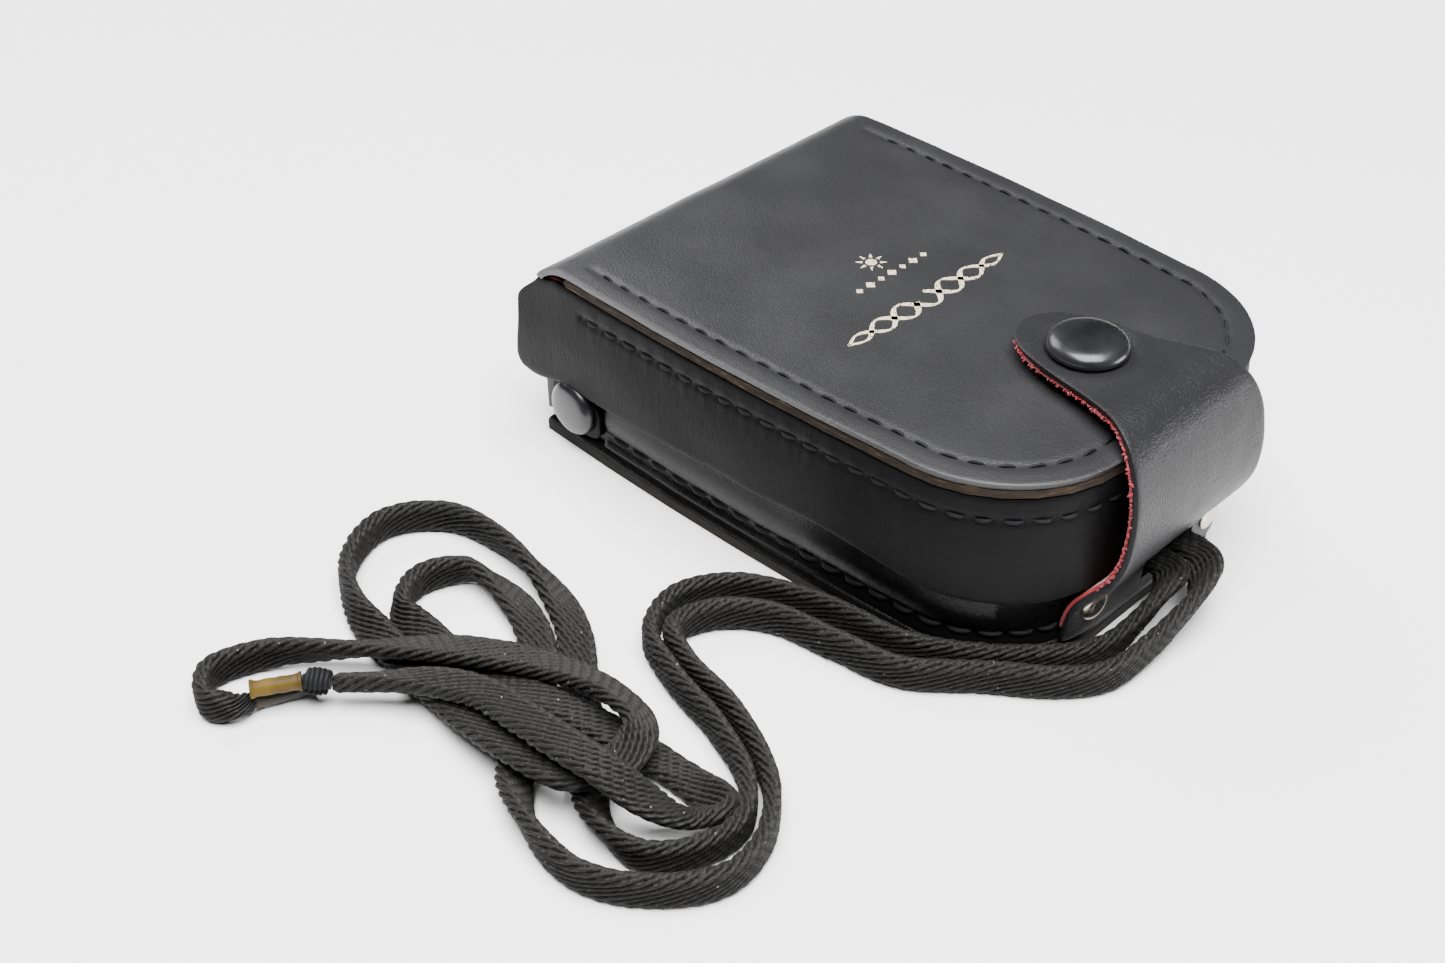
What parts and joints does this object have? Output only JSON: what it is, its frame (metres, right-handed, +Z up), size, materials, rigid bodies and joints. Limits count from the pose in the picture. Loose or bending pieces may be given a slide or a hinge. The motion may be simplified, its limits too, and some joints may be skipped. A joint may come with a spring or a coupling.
{
  "type": "handheld light meter",
  "caption": "Handheld exposure meter in its closed black leather snap case, with a flat braided neck cord lying in front of it.",
  "frame": {"origin": "middle of the case's length and width, on the surface that the closed case lies on", "axes": "+X from the case's spine to its closing strap, +Y to the side away from the cord, +Z up out of the lid"},
  "size_m": [0.1377, 0.1858, 0.0507],
  "materials": {
    "black_leather": "pebbled, semi-gloss",
    "leather_board": "cut fibre edge, dull",
    "red_suede": "napped suede",
    "black_braid": "plied braid, dull",
    "black_enamel": "gloss enamel",
    "nickel": "bright plate",
    "steel": "plain",
    "brass": "plain",
    "amber_tube": "translucent",
    "grey_plastic": "fine texture",
    "black_plastic": "satin",
    "white_plastic": "opal",
    "clear_plastic": "clear",
    "printed_plate": "printed, satin",
    "red_paint": "satin",
    "copper_wire": "wound enamelled wire",
    "circuit_board": "resist-coated laminate"
  },
  "bodies": {
    "case_base": {"base_board": "leather_board", "base_welt": "black_leather", "base_wall": "black_leather", "base_lining": "red_suede", "rear_wrap": "black_leather", "side_snap_cap_near": "black_enamel", "side_snap_cap_far": "black_enamel", "strap_foot": "black_leather", "strap_rivet_near": "nickel", "strap_rivet_far": "nickel", "neck_cord_a": "black_braid", "neck_cord_b": "black_braid", "aglet_a": "amber_tube", "aglet_b": "brass", "cord_whipping": "black_braid", "meter_back_shell": "grey_plastic", "meter_front_shell": "grey_plastic", "meter_screw_1": "steel", "meter_screw_2": "steel", "meter_screw_3": "steel", "meter_screw_4": "steel", "scale_window": "clear_plastic", "scale_plate": "printed_plate", "magnet_yoke": "steel", "movement_frame": "brass", "circuit_board": "circuit_board", "dial_hub": "nickel", "cell_window": "clear_plastic", "photocell": "black_plastic", "dome_track": "black_plastic", "battery_sleeve": "black_plastic", "battery_1": "steel", "battery_2": "steel", "battery_contact": "brass"},
    "lid": {"lid_cover": "black_leather", "lid_board": "leather_board", "lid_lining": "red_suede", "lid_wall": "black_leather", "lid_snap_stud": "nickel"},
    "strap": {"closing_strap": "black_leather", "strap_lining": "red_suede", "strap_snap_cap": "black_enamel", "strap_snap_socket": "nickel"},
    "needle": {"pointer_needle": "red_paint", "moving_coil": "copper_wire"},
    "dial": {"dial_ring": "black_plastic"},
    "speed": {"speed_disc": "printed_plate"},
    "dome": {"diffuser_dome": "white_plastic"},
    "switch": {"range_switch": "black_plastic"},
    "door": {"battery_door": "black_plastic"},
    "zero": {"zero_screw": "brass"}
  },
  "joints": [
    {"name": "lid_open", "type": "hinge", "parent": "case_base", "child": "lid", "pos_m": [-0.0602, 0, 0.0155], "axis": [0, -1, 0], "range_deg": [0, 110]},
    {"name": "strap_open", "type": "hinge", "parent": "case_base", "child": "strap", "pos_m": [0.0605, 0, 0.0138], "axis": [0, 1, 0], "range_deg": [0, 55], "deforming": ["closing_strap", "strap_lining", "strap_snap_cap", "strap_snap_socket"]},
    {"name": "needle_swing", "type": "hinge", "parent": "case_base", "child": "needle", "pos_m": [0.015, 0, 0.03], "axis": [0, 0, 1], "range_deg": [0, 76], "stiffness_Nm_per_rad": 0.00001},
    {"name": "dial_turn", "type": "hinge", "parent": "case_base", "child": "dial", "pos_m": [-0.02, 0, 0.0368], "axis": [0, 0, 1], "continuous": true},
    {"name": "speed_turn", "type": "hinge", "parent": "case_base", "child": "speed", "pos_m": [-0.02, 0, 0.0365], "axis": [0, 0, 1], "range_deg": [-120, 120]},
    {"name": "dome_slide", "type": "slide", "parent": "case_base", "child": "dome", "axis": [0, 1, 0], "range_m": [0, 0.016]},
    {"name": "range_switch_rock", "type": "hinge", "parent": "case_base", "child": "switch", "pos_m": [0, -0.0326, 0.026], "axis": [0, 0, 1], "range_deg": [-5, 5], "stiffness_Nm_per_rad": 0.02},
    {"name": "battery_door_turn", "type": "hinge", "parent": "case_base", "child": "door", "pos_m": [-0.034, 0.012, 0.0062], "axis": [0, 0, 1], "range_deg": [0, 60]},
    {"name": "zero_screw_turn", "type": "hinge", "parent": "case_base", "child": "zero", "pos_m": [0.015, 0, 0.0105], "axis": [0, 0, 1], "range_deg": [-60, 60]}
  ],
  "couplings": [
    {"joint": "strap_open", "follows": "lid_open", "ratio": 0.5}
  ]
}
